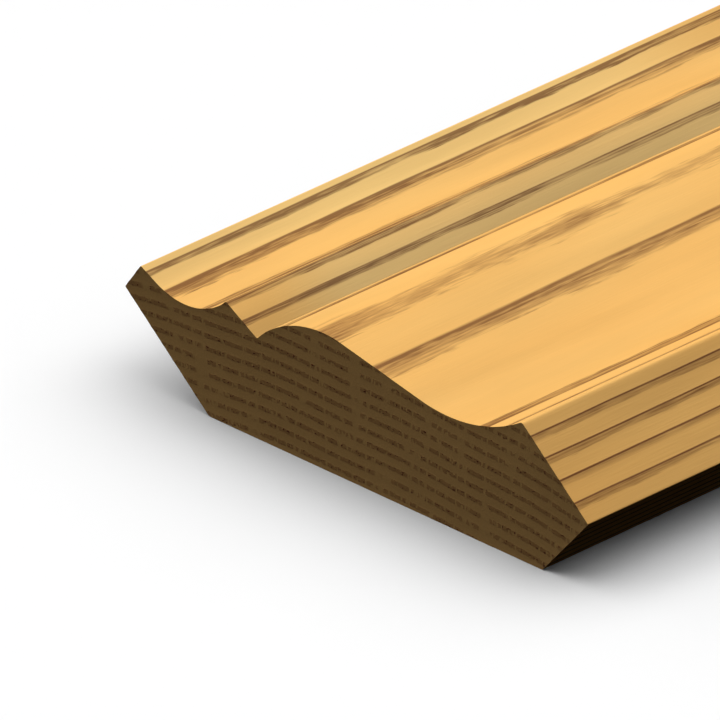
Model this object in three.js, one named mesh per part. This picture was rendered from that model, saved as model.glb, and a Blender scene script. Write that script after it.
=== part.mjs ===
// A short length of solid softwood crown moulding, lying on its flat back.
// Crown spans the corner between a wall and a ceiling. It is one board, planed to this
// section in a single pass, so it is one solid with the same section from end to end.
// Millimetres. X runs across the face from the wall side to the ceiling side, Y along the
// length and Z up from the back to the face.

import * as THREE from 'three';

// Driving dimensions
const LENGTH = 110;
const BACK_WIDTH = 59.4;
const WALL_BEVEL = 19.9;
const CEILING_BEVEL = 12.4;
const SPRING_ANGLE = 41;

const TOE_EDGE = 4.9;
const TOE_SLOPE = 54;

const COVE_LEAD = 3.1;
const COVE_RADIUS = 10.9;
const COVE_START_SLOPE = -27.3;
const COVE_END_SLOPE = 44;

const FILLET = 6.4;
const FILLET_SLOPE = -30;

const OVOLO_RADIUS = 16.5;
const OVOLO_START_SLOPE = 46;
const CYMA_SLOPE = -11.5;
const CYMA_FLAT = 14.3;
const HOLLOW_RADIUS = 24;

const FASCIA_EASING = 0.6;

// The furthest that a facet may stand off a true arc
const ARC_TOLERANCE = 0.005;

const radians = THREE.MathUtils.degToRad;

// The outline is walked with a pen. A slope is the angle above level, in degrees, that the
// pen moves at.
const outline = [new THREE.Vector2(0, 0)];
const pen = () => outline[outline.length - 1];

function direction(slope) {
  return new THREE.Vector2(Math.cos(radians(slope)), Math.sin(radians(slope)));
}

// The unit vector square to the pen's left
function left(slope) {
  return direction(slope + 90);
}

function straight(length, slope) {
  outline.push(pen().clone().addScaledVector(direction(slope), length));
}

// An arc that leaves the pen at one slope and ends at another. It is a hollow if it bends
// up and a round if it bends down.
function sweep(radius, startSlope, endSlope) {
  const bend = Math.sign(endSlope - startSlope);
  const centre = pen().clone().addScaledVector(left(startSlope), bend * radius);
  const widestStep = 2 * Math.acos(1 - ARC_TOLERANCE / radius);
  const steps = Math.ceil(Math.abs(radians(endSlope - startSlope)) / widestStep);
  for (let i = 1; i <= steps; i++) {
    const slope = THREE.MathUtils.lerp(startSlope, endSlope, i / steps);
    outline.push(centre.clone().addScaledVector(left(slope), -bend * radius));
  }
}

// The wall side: the bevel that bears on the wall, then the narrow toe. The bevel leans out
// from the back at the spring angle.
function wallSide() {
  straight(WALL_BEVEL, 180 - SPRING_ANGLE);
  straight(TOE_EDGE, TOE_SLOPE);
}

// The small cove at the wall side and the fillet that steps down from its arris
function coveAndFillet() {
  straight(COVE_LEAD, COVE_START_SLOPE);
  sweep(COVE_RADIUS, COVE_START_SLOPE, COVE_END_SLOPE);
  straight(FILLET, FILLET_SLOPE);
}

// The wide ogee: an ovolo, a nearly flat run and a shallow hollow. The hollow climbs until
// the easing of the fascia's arris touches both it and the fascia.
function ogee(fasciaFoot) {
  sweep(OVOLO_RADIUS, OVOLO_START_SLOPE, CYMA_SLOPE);
  straight(CYMA_FLAT, CYMA_SLOPE);
  const hollowCentre = pen().clone().addScaledVector(left(CYMA_SLOPE), HOLLOW_RADIUS);
  const centreToFascia = hollowCentre.sub(fasciaFoot).dot(left(-SPRING_ANGLE));
  const touch = Math.acos((centreToFascia + FASCIA_EASING) / (HOLLOW_RADIUS + FASCIA_EASING));
  const hollowEndSlope = THREE.MathUtils.radToDeg(touch) - SPRING_ANGLE;
  sweep(HOLLOW_RADIUS, CYMA_SLOPE, hollowEndSlope);
  sweep(FASCIA_EASING, hollowEndSlope, -SPRING_ANGLE);
}

// The ceiling side: the bevel that bears on the ceiling is square to the wall bevel, and the
// fascia above it is parallel to the wall bevel.
const backEdge = new THREE.Vector2(BACK_WIDTH, 0);
const fasciaFoot = backEdge.clone().addScaledVector(direction(90 - SPRING_ANGLE), CEILING_BEVEL);

wallSide();
coveAndFillet();
ogee(fasciaFoot);
outline.push(fasciaFoot, backEdge);

// The section is drawn in X and Y, so the extrusion is stood up to put its depth along the
// length. The origin is under the middle of the moulding, on the surface that it lies on.
const board = new THREE.ExtrudeGeometry(new THREE.Shape(outline), {
  depth: LENGTH,
  steps: 1,
  bevelEnabled: false,
});
board.rotateX(radians(90));
board.computeBoundingBox();
const middle = board.boundingBox.getCenter(new THREE.Vector3());
board.translate(-middle.x, -middle.y, -board.boundingBox.min.z);

const softwood = new THREE.MeshStandardMaterial({
  color: 0xf0bc70,
  roughness: 0.55,
  metalness: 0,
});

const moulding = new THREE.Mesh(board, softwood);
moulding.name = 'crown_moulding';

const group = new THREE.Group();
group.add(moulding);

export default group;
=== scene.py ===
import math

import bmesh
import bpy
import numpy as np
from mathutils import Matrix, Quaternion, Vector
from mathutils.geometry import delaunay_2d_cdt


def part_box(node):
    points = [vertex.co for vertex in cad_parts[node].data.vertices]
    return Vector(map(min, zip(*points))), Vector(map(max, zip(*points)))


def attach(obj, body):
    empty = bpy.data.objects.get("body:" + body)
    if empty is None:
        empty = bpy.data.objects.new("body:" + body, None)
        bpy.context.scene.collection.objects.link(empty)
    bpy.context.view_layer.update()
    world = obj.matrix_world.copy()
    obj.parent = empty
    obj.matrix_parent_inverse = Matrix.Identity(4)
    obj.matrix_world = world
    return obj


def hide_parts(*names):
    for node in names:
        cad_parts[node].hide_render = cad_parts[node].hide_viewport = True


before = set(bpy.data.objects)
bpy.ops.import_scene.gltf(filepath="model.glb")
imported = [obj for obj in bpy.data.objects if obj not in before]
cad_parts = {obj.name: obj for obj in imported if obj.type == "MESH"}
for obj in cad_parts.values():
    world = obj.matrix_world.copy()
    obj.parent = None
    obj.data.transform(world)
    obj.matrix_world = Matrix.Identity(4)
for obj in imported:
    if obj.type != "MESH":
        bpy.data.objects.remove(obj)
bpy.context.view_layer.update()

scene = bpy.context.scene
mm = 0.001

# Camera
# The board was pictured from in front of its sawn end and above the ceiling side, from so
# far away that its long edges stay parallel. A very long lens gives the same view.
AZIMUTH = math.radians(45.45)
ELEVATION = math.radians(27.18)
ROLL = math.radians(-0.32)
LENS = 1600
DISTANCE = 4.0455
AIM = Vector((-23.83, -30.65, 0.0)) * mm

away = Vector((
    math.sin(AZIMUTH) * math.cos(ELEVATION),
    -math.cos(AZIMUTH) * math.cos(ELEVATION),
    math.sin(ELEVATION),
))
camera = bpy.data.objects.new("camera", bpy.data.cameras.new("camera"))
camera.data.lens = LENS
camera.data.sensor_width = 36
camera.data.clip_end = 20
camera.location = AIM + away * DISTANCE
camera.rotation_mode = "QUATERNION"
camera.rotation_quaternion = (-away).to_track_quat("-Z", "Y") @ Quaternion((0, 0, 1), ROLL)
scene.collection.objects.link(camera)
scene.camera = camera

# Studio light
# Wide soft lamps. One hangs overhead and a little behind the board with a faint one beside it,
# and another stands low on its wall side, so the face glows and the shadows on the floor fade
# out slowly. The sawn end and the ceiling bevel are in shade, the bevel just lit by a very
# faint low lamp. The white all round is only a backdrop and lights nothing.
scene.view_settings.view_transform = "Standard"


def lamp(name, tilt, bearing, width, strength):
    """A lamp far off, tilt degrees from overhead towards a bearing counted from +X to +Y."""
    data = bpy.data.lights.new(name, "SUN")
    data.angle = math.radians(width)
    data.energy = strength
    data.cycles.use_multiple_importance_sampling = False
    tilt = math.radians(tilt)
    bearing = math.radians(bearing)
    towards = Vector((
        math.sin(tilt) * math.cos(bearing),
        math.sin(tilt) * math.sin(bearing),
        math.cos(tilt),
    ))
    light = bpy.data.objects.new(name, data)
    light.rotation_mode = "QUATERNION"
    light.rotation_quaternion = towards.to_track_quat("Z", "Y")
    scene.collection.objects.link(light)


lamp("overhead_lamp", tilt=20, bearing=98, width=90, strength=2.86)
lamp("side_lamp", tilt=69, bearing=202, width=80, strength=2.27)
lamp("fill_lamp", tilt=35, bearing=30, width=60, strength=0.45)
lamp("low_lamp", tilt=80, bearing=0, width=60, strength=0.03)

world = bpy.data.worlds.new("studio")
world.use_nodes = True
world.node_tree.nodes["Background"].inputs["Color"].default_value = (1.0, 1.0, 1.0, 1.0)
scene.world = world
world.cycles_visibility.diffuse = False
world.cycles_visibility.glossy = False

# Floor
# A plain white studio floor, matte and with no edge in sight, that the board lies on with
# its flat back down. It throws no light back up, as the board's shaded bevel is nearly black.
FLOOR_RADIUS = 6.0
FLOOR_SEGMENTS = 96
FLOOR_WHITE = 0.8

white_floor = bpy.data.materials.new("white_floor")
white_floor.use_nodes = True
floor_shader = white_floor.node_tree.nodes["Principled BSDF"]
floor_shader.inputs["Base Color"].default_value = (FLOOR_WHITE, FLOOR_WHITE, FLOOR_WHITE, 1.0)
floor_shader.inputs["Roughness"].default_value = 1.0
floor_shader.inputs["Specular IOR Level"].default_value = 0.0

disc = bmesh.new()
bmesh.ops.create_circle(disc, cap_ends=True, segments=FLOOR_SEGMENTS, radius=FLOOR_RADIUS)
floor_mesh = bpy.data.meshes.new("floor")
disc.to_mesh(floor_mesh)
disc.free()
floor = bpy.data.objects.new("floor", floor_mesh)
scene.collection.objects.link(floor)
floor_mesh.materials.append(white_floor)
floor.visible_diffuse = False
floor.visible_glossy = False

# Crown moulding
# One board of slow-grown softwood, planed to its section in a single pass and cut off square
# with a fine saw. It lies on the flat back that bridges the corner when it is up: the wall
# bevel bears on the wall and the ceiling bevel on the ceiling.
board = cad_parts["crown_moulding"]
low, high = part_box("crown_moulding")
low, high = low / mm, high / mm

# Angles here are in degrees and lengths in millimetres. A facet counts as long when it is
# LONG_FACET times the one beside it. END_SCATTER and END_MARGIN are parts of an END_STEP.
SHARP_CORNER = 20
LONG_FACET = 2.5
ARRIS_EASING = 0.22
ARRIS_STEPS = 5
SECTION_STEP = 0.27
LENGTH_STEP = 1.4
END_STEP = 0.47
END_SCATTER = 0.25
END_MARGIN = 0.6
CREASE_ANGLE = 45
TOUCHING = 0.001


def section_outline():
    """The corners of the board's section in order round its near end, in millimetres."""
    solid = bmesh.new()
    solid.from_mesh(board.data)
    bmesh.ops.remove_doubles(solid, verts=solid.verts, dist=1e-7)

    def on_near_end(part):
        return all(abs(v.co.y / mm - low.y) < TOUCHING for v in part.verts)

    rim = {}
    for edge in solid.edges:
        if on_near_end(edge) and not all(on_near_end(f) for f in edge.link_faces):
            for a, b in (edge.verts, reversed(edge.verts)):
                rim.setdefault(a, []).append(b)
    start = min(rim, key=lambda v: v.co.x)
    walk = [start]
    came_from, here = start, max(rim[start], key=lambda v: v.co.z)
    while here is not start:
        walk.append(here)
        came_from, here = here, next(v for v in rim[here] if v is not came_from)
    outline = np.array([(v.co.x, v.co.z) for v in walk]) / mm
    solid.free()
    return outline


def unit(v):
    return v / np.linalg.norm(v)


def turn(before, after):
    """How far the outline bends between two of its edges, in degrees."""
    return math.degrees(math.acos(np.clip(np.dot(unit(before), unit(after)), -1.0, 1.0)))


def smooth_run(corners):
    """Points along one run of the outline, from arris to arris, with its facets rounded off."""
    chords = np.diff(corners, axis=0)
    lengths = np.linalg.norm(chords, axis=1)
    ways = chords / lengths[:, None]
    slopes = [ways[0]]
    for i in range(1, len(ways)):
        before, after = lengths[i - 1], lengths[i]
        if before > LONG_FACET * after:
            slopes.append(ways[i - 1])
        elif after > LONG_FACET * before:
            slopes.append(ways[i])
        else:
            slopes.append(unit(ways[i - 1] + ways[i]))
    slopes.append(ways[-1])
    points = []
    for i, length in enumerate(lengths):
        count = max(1, round(length / SECTION_STEP))
        for t in np.arange(count) / count:
            points.append(
                corners[i] * (1 + 2 * t) * (1 - t) ** 2
                + slopes[i] * length * t * (1 - t) ** 2
                + corners[i + 1] * t ** 2 * (3 - 2 * t)
                + slopes[i + 1] * length * t ** 2 * (t - 1)
            )
    points.append(corners[-1])
    return np.array(points)


def eased_outline():
    """The whole section, finely stepped, with every arris just rubbed off."""
    corners = section_outline()
    count = len(corners)
    edges = np.roll(corners, -1, axis=0) - corners
    sharp = [i for i in range(count) if turn(edges[i - 1], edges[i]) > SHARP_CORNER]
    outline = []
    for first, last in zip(sharp, sharp[1:] + [sharp[0] + count]):
        run = smooth_run(corners[np.arange(first, last + 1) % count])
        into = np.linalg.norm(run - run[-1], axis=1) > ARRIS_EASING
        out = np.linalg.norm(run - run[0], axis=1) > ARRIS_EASING
        middle = run[into & out]
        start = run[0] + unit(middle[0] - run[0]) * ARRIS_EASING
        stop = run[-1] + unit(middle[-1] - run[-1]) * ARRIS_EASING
        outline.append((start, middle, stop, run[-1]))
    points = []
    for here, following in zip(outline, outline[1:] + outline[:1]):
        start, middle, stop, corner = here
        points += [start, *middle, stop]
        for t in np.arange(1, ARRIS_STEPS) / ARRIS_STEPS:
            points.append(stop * (1 - t) ** 2 + 2 * corner * t * (1 - t) + following[0] * t ** 2)
    return np.array(points)


outline = eased_outline()

# Growth rings are nearly circles about the heart of the tree, far below the board, and rise a
# little along it. Two slow waves run across them, as the trunk wasn't quite round. Each ring
# ends in a band of hard dark latewood with a crisp outer edge.
HEART = (-3.8, -303.7)
FIRST_RING = 305.15
RING_WIDTH = 1.84
RING_RISE = 0.0010
RING_WAVES = ((0.086, 78.0, 5.7), (0.066, 22.0, -2.8))
LATEWOOD_CORE = 0.12
LATEWOOD_END = 0.33
LATEWOOD_PROUD = 0.035


def latewood(x, y, z):
    """How far a point of the board is into the hard latewood of its ring, from 0 to 1."""
    ring = (np.hypot(x - HEART[0], z - HEART[1]) - FIRST_RING) / RING_WIDTH
    ring = ring - RING_RISE * (y - low.y)
    for height, spacing, crest in RING_WAVES:
        ring = ring + height * np.cos((x - crest) * 2 * np.pi / spacing)
    inside = -ring % 1.0
    rise = np.clip(inside / LATEWOOD_CORE, 0.0, 1.0)
    fall = np.clip((LATEWOOD_END - inside) / (LATEWOOD_END - LATEWOOD_CORE), 0.0, 1.0)
    return rise * fall


def points_inside(outline, step):
    """A seeded, slightly scattered grid of points inside an outline and clear of its edge."""
    scatter = np.random.default_rng(7)
    across = np.arange(outline[:, 0].min(), outline[:, 0].max(), step)
    up = np.arange(outline[:, 1].min(), outline[:, 1].max(), step)
    grid = np.stack(np.meshgrid(across, up), axis=-1).reshape(-1, 2)
    grid = grid + scatter.uniform(-END_SCATTER, END_SCATTER, grid.shape) * step
    a, b = outline, np.roll(outline, -1, axis=0)
    x, z = grid[:, :1], grid[:, 1:]
    crosses = (a[:, 1] > z) != (b[:, 1] > z)
    rise = np.where(crosses, b[:, 1] - a[:, 1], 1.0)
    crossing = a[:, 0] + (z - a[:, 1]) * (b[:, 0] - a[:, 0]) / rise
    inside = (crosses & (x < crossing)).sum(axis=1) % 2 == 1
    clear = np.hypot(x - a[:, 0], z - a[:, 1]).min(axis=1) > step * END_MARGIN
    return grid[inside & clear]


def board_mesh():
    """The planed skin from end to end, closed by two sawn ends with a fine surface."""
    count = len(outline)
    edges = np.roll(outline, -1, axis=0) - outline
    inward = np.stack((edges[:, 1], -edges[:, 0]), axis=1)
    inward /= np.linalg.norm(inward, axis=1)[:, None]
    inward += np.roll(inward, 1, axis=0)
    inward /= np.linalg.norm(inward, axis=1)[:, None]

    stations = np.linspace(low.y, high.y, 1 + round((high.y - low.y) / LENGTH_STEP))
    skin = []
    for y in stations:
        sunk = LATEWOOD_PROUD * (1 - latewood(outline[:, 0], y, outline[:, 1]))
        x, z = (outline + inward * sunk[:, None]).T
        skin.append(np.stack((x, np.full(count, y), z), axis=1))
    points = list(np.concatenate(skin))
    faces = []
    for s in range(len(stations) - 1):
        for i in range(count):
            j = (i + 1) % count
            faces.append((s * count + i, (s + 1) * count + i, (s + 1) * count + j, s * count + j))
    planed = len(faces)

    inner = points_inside(outline, END_STEP)
    flat = [Vector(p) for p in (*outline, *inner)]
    rim = list(range(count))
    flat, _, triangles, sources, _, _ = delaunay_2d_cdt(flat, [], [rim], 1, 1e-6)
    for y, rim_start, into in ((low.y, 0, 1), (high.y, (len(stations) - 1) * count, -1)):
        numbers = []
        for place, source in zip(flat, sources):
            if source and source[0] < count:
                numbers.append(rim_start + source[0])
                continue
            sunk = LATEWOOD_PROUD * (1 - latewood(place.x, y, place.y))
            numbers.append(len(points))
            points.append((place.x, y + into * sunk, place.y))
        for triangle in triangles:
            corners = [numbers[i] for i in triangle]
            faces.append(corners if into > 0 else corners[::-1])
    mesh = bpy.data.meshes.new("crown_moulding_face")
    mesh.from_pydata([Vector(p) * mm for p in points], [], faces)
    mesh.polygons.foreach_set("material_index", [0] * planed + [1] * (len(faces) - planed))
    mesh.shade_smooth()
    mesh.set_sharp_from_angle(angle=math.radians(CREASE_ANGLE))
    mesh.validate()
    return mesh


class Shade:
    """A number that varies through the wood. Arithmetic with it lays down the nodes."""

    def __init__(self, tree, socket):
        self.tree = tree
        self.socket = socket

    def math(self, operation, *others):
        node = self.tree.nodes.new("ShaderNodeMath")
        node.operation = operation
        for socket, value in zip(node.inputs, (self, *others)):
            if isinstance(value, Shade):
                self.tree.links.new(value.socket, socket)
            else:
                socket.default_value = value
        return Shade(self.tree, node.outputs[0])

    def __add__(self, other):
        return self.math("ADD", other)

    def __sub__(self, other):
        return self.math("SUBTRACT", other)

    def __rsub__(self, other):
        return self.math("MULTIPLY", -1.0) + other

    def __mul__(self, other):
        return self.math("MULTIPLY", other)

    def __truediv__(self, other):
        return self.math("DIVIDE", other)

    __radd__ = __add__
    __rmul__ = __mul__

    def ramp(self, start, end):
        """0 below start, 1 above end and a soft rise between them. Start may be above end."""
        node = self.tree.nodes.new("ShaderNodeMapRange")
        node.interpolation_type = "SMOOTHSTEP"
        for name, value in (("Value", self), ("From Min", start), ("From Max", end)):
            if isinstance(value, Shade):
                self.tree.links.new(value.socket, node.inputs[name])
            else:
                node.inputs[name].default_value = value
        return Shade(self.tree, node.outputs["Result"])


# The grain of each seed reads the noise in another place, this far on from the seed before.
SEED_STRIDE = (7.3, 3.1, 5.7)


class Wood:
    """The nodes that every finish of this board shares: places in millimetres and its rings."""

    def __init__(self, name):
        self.finish = bpy.data.materials.new(name)
        self.finish.use_nodes = True
        self.tree = self.finish.node_tree
        self.shader = self.tree.nodes["Principled BSDF"]
        place = self.tree.nodes.new("ShaderNodeTexCoord")
        self.place = self.vector("SCALE", place.outputs["Object"], scale=1 / mm)
        split = self.tree.nodes.new("ShaderNodeSeparateXYZ")
        self.tree.links.new(self.place, split.inputs[0])
        self.x, self.y, self.z = (Shade(self.tree, s) for s in split.outputs)

    def vector(self, operation, *values, scale=None):
        node = self.tree.nodes.new("ShaderNodeVectorMath")
        node.operation = operation
        for socket, value in zip(node.inputs, values):
            if isinstance(value, bpy.types.NodeSocket):
                self.tree.links.new(value, socket)
            else:
                socket.default_value = value
        if scale is not None:
            node.inputs["Scale"].default_value = scale
        return node.outputs["Value" if operation == "LENGTH" else "Vector"]

    def grain(self, size, seed, detail=1.0, roughness=0.5, place=None):
        """Cloudy grain about 0, from -0.5 to 0.5. Size is the length of its patches, in mm."""
        stretched = self.vector(
            "MULTIPLY_ADD", place or self.place, [1 / s for s in size], [seed * s for s in SEED_STRIDE]
        )
        node = self.tree.nodes.new("ShaderNodeTexNoise")
        node.inputs["Scale"].default_value = 1.0
        node.inputs["Detail"].default_value = detail
        node.inputs["Roughness"].default_value = roughness
        self.tree.links.new(stretched, node.inputs["Vector"])
        return Shade(self.tree, node.outputs[0]) - 0.5

    def ring(self):
        """The number of the growth ring at a place, counted out from the back of the board."""
        ring = (self.near(HEART) - FIRST_RING) / RING_WIDTH - (self.y - low.y) * RING_RISE
        for height, spacing, crest in RING_WAVES:
            ring = ring + ((self.x - crest) * (2 * math.pi / spacing)).math("COSINE") * height
        return ring

    def along_rings(self, ring):
        """A place given by its bearing from the heart, its distance along and its ring."""
        join = self.tree.nodes.new("ShaderNodeCombineXYZ")
        bearing = (self.x - HEART[0]) / (self.z - HEART[1]) * FIRST_RING
        for socket, part in zip(join.inputs, (bearing, self.y, ring)):
            self.tree.links.new(part.socket, socket)
        return join.outputs[0]

    def near(self, spot):
        """How far a place of the section is from a spot of it, in millimetres."""
        away = self.vector("SUBTRACT", self.place, (spot[0], 0.0, spot[1]))
        away = self.vector("MULTIPLY", away, (1.0, 0.0, 1.0))
        return Shade(self.tree, self.vector("LENGTH", away))

    def colour(self, parts):
        """Joins three shades, red, green and blue, as the shader's colour."""
        join = self.tree.nodes.new("ShaderNodeCombineColor")
        for socket, part in zip(join.inputs, parts):
            self.tree.links.new(part.socket, socket)
        self.tree.links.new(join.outputs[0], self.shader.inputs["Base Color"])

    def bump(self, height, depth):
        """Height from 0 to 1 stands for depth millimetres."""
        node = self.tree.nodes.new("ShaderNodeBump")
        node.inputs["Distance"].default_value = depth * mm
        self.tree.links.new(height.socket, node.inputs["Height"])
        self.tree.links.new(node.outputs[0], self.shader.inputs["Normal"])


# The planed faces are pale honey earlywood and dark latewood, drawn out along the board. The
# toe is paler and yellower, and a greyer tint lies on the two fillets. Painted shade darkens the
# quirk between them and the ogee, and the fascia that faces away from the lamps. Each pair below
# is where, in millimetres, one of these begins and where it is full.
EARLYWOOD = (0.775, 0.430, 0.121)
LATEWOOD_SHARE = (0.91, 1.0, 1.03)
DARKEST_LATEWOOD = 0.76
PLANED_SHEEN = 0.08
FIBRE_RELIEF = 0.03
QUIRK = (-17.56, 14.26)
QUIRK_SHADE = (6.0, 1.0)
FASCIA_EDGE = (29.3, 30.3)
TOE_EDGE = (-33.8, -34.8)
TOE_FADES_OUT = (104, 76)
FILLETS_TOP = (-23.4, -22.8)
FILLETS_FOOT = (-16.8, -17.6)
TINT_AND_SHADE_GROWS = (3, 20)


def planed_finish():
    wood = Wood("planed_softwood")
    ring = wood.ring()
    rings = wood.along_rings(ring)
    along = wood.y - low.y
    # the fascia has bands of its own below, and its darker tone there is painted shade
    fascia = wood.x.ramp(*FASCIA_EDGE)
    fillets = wood.x.ramp(*FILLETS_TOP) * wood.x.ramp(*FILLETS_FOOT)
    toe = wood.x.ramp(*TOE_EDGE) * along.ramp(*TOE_FADES_OUT)
    # painted shade in the quirk: full within 1 mm of it and gone 6 mm out
    quirk = wood.near(QUIRK).ramp(*QUIRK_SHADE)
    # a greyer tint on the fillets, and in the quirk part of its painted shade; it grows in from the near
    # end
    fillet_tint_quirk_shade = (fillets * 0.7 + quirk * 0.3) * along.ramp(*TINT_AND_SHADE_GROWS)

    # how far into its ring a place is, with the band's crisp outer edge and its ragged inner one
    wander = wood.grain((9, 45, 9), seed=25) * 0.10 + wood.grain((1.2, 16, 1.2), seed=83) * 0.05
    inside = (wander + 0.04 - ring).math("FRACT") - 0.04
    islands = wood.grain((5, 16, 0.9), seed=74, detail=2, place=rings)
    streaks = wood.grain((0.35, 5, 0.08), seed=4, detail=2, roughness=0.6, place=rings)
    end = LATEWOOD_END + islands * 0.30 + streaks * 0.20
    tail = (inside - end).ramp(0.03, -0.06)
    crisp = inside.ramp(-0.02, 0.03)

    # a dark line along the outer edge, then a streaky body that thins out in places
    core = inside.ramp(LATEWOOD_CORE, 0.04) * (0.70 + (fascia + toe) * 0.22 + islands * 0.5 + streaks * 0.5)
    lines = wood.grain((7, 70, 0.07), seed=23, detail=1, place=rings) * (1.2 - fascia * 0.7 - toe * 0.7)
    weak = wood.grain((11, 60, 0.8), seed=77, place=rings).ramp(-0.15, 0.20)
    body = 0.66 + toe * 0.16 - fascia * 0.12 - inside.ramp(0.08, 0.34) * 0.20 - weak * 0.26 + lines
    body = tail * body * (1 + streaks * 2.0 + islands * 1.8)
    darkest = DARKEST_LATEWOOD + fascia * 0.10
    dark = crisp * core.math("MAXIMUM", body).math("MINIMUM", darkest).math("MAXIMUM", 0.0)

    # the paler wood between the bands, in slow clouds and short fibres,
    # with painted shade darkening the fascia and the quirk
    clouds = wood.grain((5, 38, 5), seed=5, detail=2)
    fibres = wood.grain((0.22, 7, 0.22), seed=6, detail=2)
    hue = wood.grain((14, 60, 14), seed=7)
    tone = (1 + clouds * 0.26 + fibres * 0.07) * (1 + toe * 0.10 - fascia * 0.14 - quirk * 0.24)
    hues = (1.0, 1 + hue * 0.16 + toe * 0.12 + fillet_tint_quirk_shade * 0.18, 1 + hue * 0.4 + toe * 0.32 + fillet_tint_quirk_shade * 0.55)
    parts = []
    for pale, share, tint in zip(EARLYWOOD, LATEWOOD_SHARE, hues):
        parts.append(tone * tint * (1 - dark * share) * pale)
    wood.colour(parts)
    rough = 0.6 - dark * 0.1 + fibres * 0.1
    wood.tree.links.new(rough.socket, wood.shader.inputs["Roughness"])
    wood.shader.inputs["Specular IOR Level"].default_value = PLANED_SHEEN
    wood.bump(fibres + dark * 0.5, FIBRE_RELIEF)
    return wood.finish


# The sawn ends show the same rings end on, as rows of short dark dashes in rough wood. Narrow
# gaps run across the rows in columns, and a few dashes hold a darker pit.
END_GRAIN = (0.335, 0.194, 0.0655)
END_DASH_SHARE = (0.33, 0.40, 0.42)
ROW_SHIFT = 0.67
ROW_EDGE = (0.22, 0.14)
GAP_EDGE = (0.010, 0.035)
SAWN_SHEEN = 0.1
SAW_RELIEF = 0.05


def sawn_finish():
    wood = Wood("sawn_softwood")
    ring = wood.ring() + wood.grain((6, 40, 6), seed=11) * 0.08
    rings = wood.along_rings(ring)
    from_row = ((ring + ROW_SHIFT).math("FRACT") - 0.5).math("ABSOLUTE")
    ragged = wood.grain((0.4, 30, 0.2), seed=13, detail=2, place=rings)
    row = (from_row + ragged * 0.24).ramp(*ROW_EDGE)
    columns = wood.grain((3.2, 60, 14), seed=12, place=rings).math("ABSOLUTE").ramp(*GAP_EDGE)
    breaks = wood.grain((0.55, 60, 0.6), seed=16, detail=1, place=rings).ramp(-0.16, -0.08)
    pits = wood.grain((0.45, 60, 0.14), seed=19, place=rings).ramp(0.10, 0.16)
    dark = row * columns * breaks * (0.85 + ragged * 0.9 + pits * 1.5)
    speckle = wood.grain((0.25, 20, 0.25), seed=14, detail=2)
    tone = 1 + speckle * 0.22 + wood.grain((9, 60, 9), seed=15) * 0.1
    parts = []
    for pale, share in zip(END_GRAIN, END_DASH_SHARE):
        parts.append(tone * (1 - dark * share) * pale)
    wood.colour(parts)
    rough = 0.88 + speckle * 0.1
    wood.tree.links.new(rough.socket, wood.shader.inputs["Roughness"])
    wood.shader.inputs["Specular IOR Level"].default_value = SAWN_SHEEN
    wood.bump(speckle * 0.6 + dark * 0.4, SAW_RELIEF)
    return wood.finish


moulding = bpy.data.objects.new("crown_moulding_face", board_mesh())
moulding.data.materials.append(planed_finish())
moulding.data.materials.append(sawn_finish())
scene.collection.objects.link(moulding)
# the floor beside the board stays grey, with no glow from the warm wood
moulding.visible_diffuse = False
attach(moulding, "root")
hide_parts("crown_moulding")
